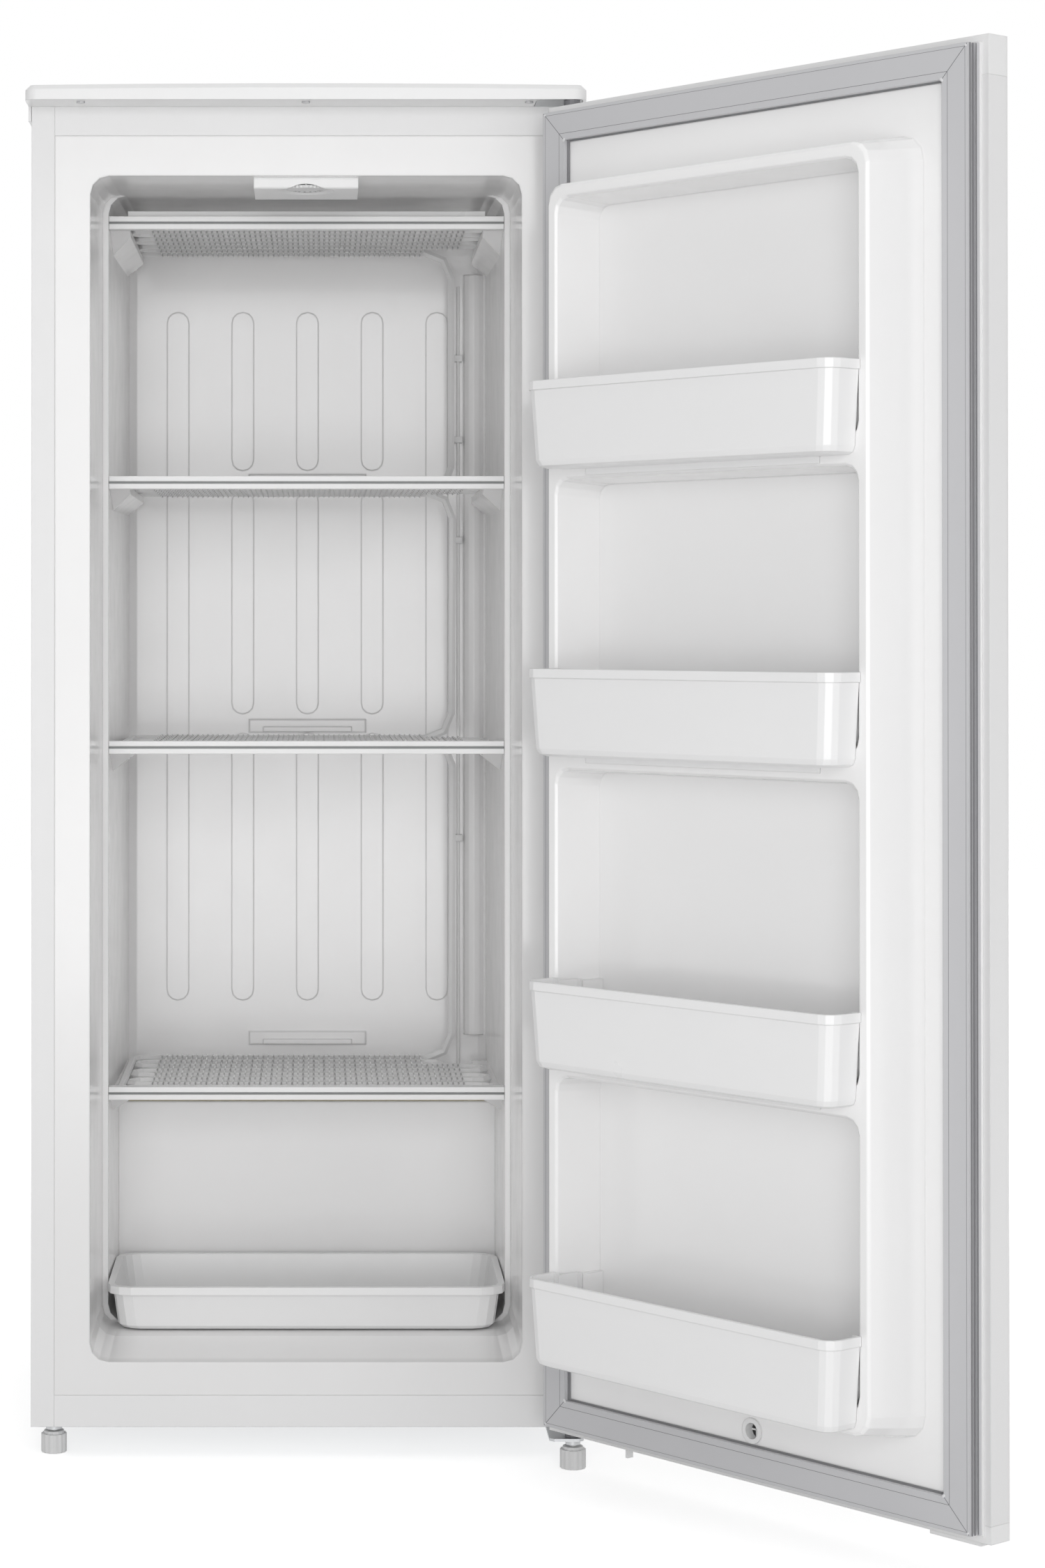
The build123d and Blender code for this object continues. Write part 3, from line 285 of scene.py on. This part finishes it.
# the dial's numbers, printed on its underside, and the housing's pointer
DIAL_X, DIAL_Y, DIAL_Z = 0.0, 36.0, 1382.5
DIGIT_RADIUS, DIGIT_HEIGHT, DIGIT_RISE = 16.5, 0.0062, 0.00004
FIRST_ANGLE, ANGLE_STEP = 140, 22
for count, digit in enumerate("7654321"):
    turn = radians(FIRST_ANGLE - count * ANGLE_STEP)
    words = bpy.data.curves.new(f"dial_number_{digit}", "FONT")
    words.body = digit
    words.size = DIGIT_HEIGHT
    words.extrude = DIGIT_RISE
    words.align_x = "CENTER"
    words.align_y = "CENTER"
    words.materials.append(ink)
    thing = bpy.data.objects.new(f"dial_number_{digit}", words)
    right = Vector((sin(turn), -cos(turn), 0))
    up = Vector((-cos(turn), -sin(turn), 0))
    facing = Vector((0, 0, -1))
    turned = Matrix((right, up, facing)).transposed().to_4x4()
    spot = at(DIAL_X + DIGIT_RADIUS * cos(turn), DIAL_Y + DIGIT_RADIUS * sin(turn), DIAL_Z - PRINT)
    thing.matrix_world = Matrix.Translation(spot) @ turned
    scene.collection.objects.link(thing)
    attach(thing, "dial")
boxes("dial_pointer", [((-0.7, 12.1, 1385.0), (0.7, 13.4, 1386.6))], at, "cabinet",
      looks["trim_white"])

# the upper wires between those of the CAD, which lie at twice the lower ones' pitch
WIRE_LEFT, WIRE_PITCH, WIRE_COUNT, WIRE_HALF, WIRE_RISE = -178.0, 6.2, 59, 0.75, 1.5
TUBE_RADIUS, WIRE_FRONT, WIRE_BACK = 4.0, 179.5, 487.5
EXIT_X, EXIT_BACK = 142.0, 406.5          # right of here the tube leaves and the wires are short
# these wires carry the same painted shade between the tube rows
for number, level in enumerate(SHELVES[1:], 2):
    wires = []
    for n in range(1, WIRE_COUNT, 2):
        x = WIRE_LEFT + n * WIRE_PITCH
        back = EXIT_BACK if x > EXIT_X else WIRE_BACK
        wires.append(((x - WIRE_HALF, WIRE_FRONT, level + TUBE_RADIUS),
                      (x + WIRE_HALF, back, level + TUBE_RADIUS + WIRE_RISE)))
    boxes(f"shelf_upper_wires_{number}", wires, at, "cabinet", shaded_grid_wire)

# the lock's keyway behind its crossed ribs: a flat dark disk of painted shade for its opening
LOCK_X, LOCK_Z, LOCK_END = -6.0, 97.0, -16.5
KEYWAY_RADIUS, KEYWAY_SIDES, KEYWAY_RISE = 7.2, 24, 0.06
RIB_REACH, UPRIGHT_HALF, LEVEL_HALF, RIB_LOW, RIB_HIGH = 6.8, 1.1, 0.8, 0.1, 1.6
ring = []
for n in range(KEYWAY_SIDES):
    turn = 2 * pi * n / KEYWAY_SIDES
    ring.append(on_door(LOCK_X + KEYWAY_RADIUS * cos(turn), LOCK_END + KEYWAY_RISE,
                        LOCK_Z + KEYWAY_RADIUS * sin(turn)))
piece("lock_keyway", ring, [tuple(range(KEYWAY_SIDES))], "lock",
      looks["relay_black"])
ribs = [((LOCK_X - half_x, LOCK_END + RIB_LOW, LOCK_Z - half_z),
         (LOCK_X + half_x, LOCK_END + RIB_HIGH, LOCK_Z + half_z))
        for half_x, half_z in ((UPRIGHT_HALF, RIB_REACH), (RIB_REACH, LEVEL_HALF))]
boxes("lock_ribs", ribs, on_door, "lock", looks["trim_white"])

# the gasket's creases and folds, drawn as thin dark strips of painted shade
GASKET_OUT, GASKET_LOW, GASKET_HIGH = 289.6, 49.5, 1452.0
GASKET_WIDTH, GASKET_FACE = 33.4, -1.2
CREASES = ((25.5, 0.5), (4.2, 0.4))       # inset from the outer edge and width
CREASE_DEPTH = 0.3
BELLOWS = ((-4.6, -3.4), (-8.8, -7.0), (-13.5, -12.4))    # front and back of the outer side's folds
creases = []
for inset, width in CREASES:
    x, low, high = GASKET_OUT - inset, GASKET_LOW + inset, GASKET_HIGH - inset
    front, back = GASKET_FACE - CREASE_DEPTH, GASKET_FACE + PRINT
    for side in (-1, 1):
        creases.append(((side * x - width / 2, front, low), (side * x + width / 2, back, high)))
    for z in (low, high):
        creases.append(((-x, front, z - width / 2), (x, back, z + width / 2)))
for front, back in BELLOWS:
    for side in (-1, 1):
        near, far = sorted((side * (GASKET_OUT - 0.4), side * (GASKET_OUT + 0.04)))
        creases.append(((near, front, GASKET_LOW + 1), (far, back, GASKET_HIGH - 1)))
boxes("gasket_creases", creases, on_door, "door", crease_shade)

# its mitred corners: side, edge, and the way from that edge to the middle
CORNERS = [(side, edge, sign) for side in (-1, 1)
           for edge, sign in ((GASKET_LOW, 1), (GASKET_HIGH, -1))]
MITRE_START, MITRE_END, MITRE_HALF = 1.8, GASKET_WIDTH - 0.3, 0.25
# a thin dark line of painted shade along each mitre
mitres, mitre_faces = [], []
for side, edge, sign in CORNERS:
    start = len(mitres)
    for reach in (MITRE_START, MITRE_END):
        for shift in (-MITRE_HALF, MITRE_HALF):
            mitres.append(on_door(side * (GASKET_OUT - reach) + shift, GASKET_FACE + PRINT,
                                  edge + sign * reach + shift * side * sign))
    mitre_faces.append((start, start + 1, start + 3, start + 2))
piece("gasket_mitres", mitres, mitre_faces, "door", crease_shade)

# and the welds at both ends of each mitre, flat drops along it
WELD_RADIUS, WELD_SUNK = 2.4, 0.2
WELDS = (("in", GASKET_WIDTH - 0.8, 1.0), ("out", 3.4, 0.7))    # name, reach from the edge, share
for number, (side, edge, sign) in enumerate(CORNERS, 1):
    for spot, reach, share in WELDS:
        mesh = bpy.data.meshes.new(f"gasket_weld_{number}_{spot}")
        blob = bmesh.new()
        bmesh.ops.create_uvsphere(blob, u_segments=14, v_segments=8,
                                  radius=WELD_RADIUS / 1000 * share)
        for v in blob.verts:
            v.co = Vector((v.co.x * 0.7, v.co.y * 0.45, v.co.z))
        blob.to_mesh(mesh)
        blob.free()
        mesh.polygons.foreach_set("use_smooth", [True] * len(mesh.polygons))
        mesh.materials.append(weld)
        thing = bpy.data.objects.new(mesh.name, mesh)
        thing.location = on_door(side * (GASKET_OUT - reach), GASKET_FACE - WELD_SUNK,
                                 edge + sign * reach)
        thing.rotation_euler = (0, side * sign * radians(45), OPEN)
        scene.collection.objects.link(thing)
        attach(thing, "door")


# ---- floor, world and lights ---------------------------------------------------------------------
GLOW = 0.52                               # what the world sheds on diffuse surfaces
FLOOR_HALF, FLOOR_LEVEL = 9.0, -0.0005
FADE_NEAR, FADE_FAR, FADE_START = 0.7, 2.6, 0.50    # the floor turns white over this distance


def seen_rays(tree):
    """1 for the rays that meet the plain white backdrop: camera, glossy and transmission rays."""
    path = tree.nodes.new("ShaderNodeLightPath")
    total = path.outputs["Is Camera Ray"]
    for kind in ("Is Glossy Ray", "Is Transmission Ray"):
        total = calculate(tree, "MAXIMUM", total, path.outputs[kind])
    return total


def backdrop(tree, strength):
    """A plain white background of a given strength."""
    node = tree.nodes.new("ShaderNodeBackground")
    node.inputs["Color"].default_value = (1, 1, 1, 1)
    node.inputs["Strength"].default_value = strength
    return node.outputs[0]


world = bpy.data.worlds.new("studio")
scene.world = world
world.use_nodes = True
tree = world.node_tree
tree.nodes.clear()
mix = tree.nodes.new("ShaderNodeMixShader")
tree.links.new(seen_rays(tree), mix.inputs["Fac"])
tree.links.new(backdrop(tree, GLOW), mix.inputs[1])
tree.links.new(backdrop(tree, 1.0), mix.inputs[2])
out = tree.nodes.new("ShaderNodeOutputWorld")
tree.links.new(mix.outputs[0], out.inputs["Surface"])

floor = bpy.data.objects.new("floor", bpy.data.meshes.new("floor"))
floor_corners = [(x * FLOOR_HALF, y * FLOOR_HALF, FLOOR_LEVEL)
                 for x, y in ((-1, -1), (1, -1), (1, 1), (-1, 1))]
floor.data.from_pydata(floor_corners, [], [(0, 1, 2, 3)])
scene.collection.objects.link(floor)
pale = bpy.data.materials.new("pale_floor")
pale.use_nodes = True
tree = pale.node_tree
shader = tree.nodes["Principled BSDF"]
shader.inputs["Base Color"].default_value = (0.9, 0.9, 0.9, 1)
shader.inputs["Roughness"].default_value = 0.9
place = tree.nodes.new("ShaderNodeTexCoord")
away = tree.nodes.new("ShaderNodeVectorMath")        # distance from the middle of the object
away.operation = "DISTANCE"
away.inputs[1].default_value = (-0.1, -0.1, 0)
tree.links.new(place.outputs["Object"], away.inputs[0])
fade = map_range(tree, away.outputs["Value"], FADE_NEAR, FADE_FAR, FADE_START, 1.0, "SMOOTHSTEP")
lift = tree.nodes.new("ShaderNodeEmission")
lift.inputs["Color"].default_value = (1, 1, 1, 1)
tree.links.new(calculate(tree, "MULTIPLY", seen_rays(tree), fade), lift.inputs["Strength"])
both = tree.nodes.new("ShaderNodeAddShader")
tree.links.new(shader.outputs[0], both.inputs[0])
tree.links.new(lift.outputs[0], both.inputs[1])
tree.links.new(both.outputs[0], tree.nodes["Material Output"].inputs["Surface"])
floor.data.materials.append(pale)

# name, place, target, size in metres and power in watts
SOFTBOXES = (
    ("front", (-0.3, -4.6, 1.1), (-0.3, 0.3, 0.8), (2.2, 2.6), 61),
    ("top", (-0.2, -0.8, 3.6), (-0.2, 0.1, 0.7), (2.4, 2.4), 10),
    ("low", (-0.6, -3.6, 0.35), (-0.3, 0.3, 1.3), (2.6, 0.6), 5),
    ("right", (2.2, -3.6, 1.6), (0.0, 0.1, 0.8), (1.4, 2.2), 11),
)
for name, place, target, size, power in SOFTBOXES:
    lamp = bpy.data.lights.new(name, "AREA")
    lamp.shape = "RECTANGLE"
    lamp.size, lamp.size_y = size
    lamp.energy = power
    thing = bpy.data.objects.new(name, lamp)
    thing.location = place
    thing.rotation_euler = (Vector(target) - Vector(place)).to_track_quat("-Z", "Y").to_euler()
    thing.visible_camera = False
    scene.collection.objects.link(thing)

scene.view_settings.view_transform = "Standard"
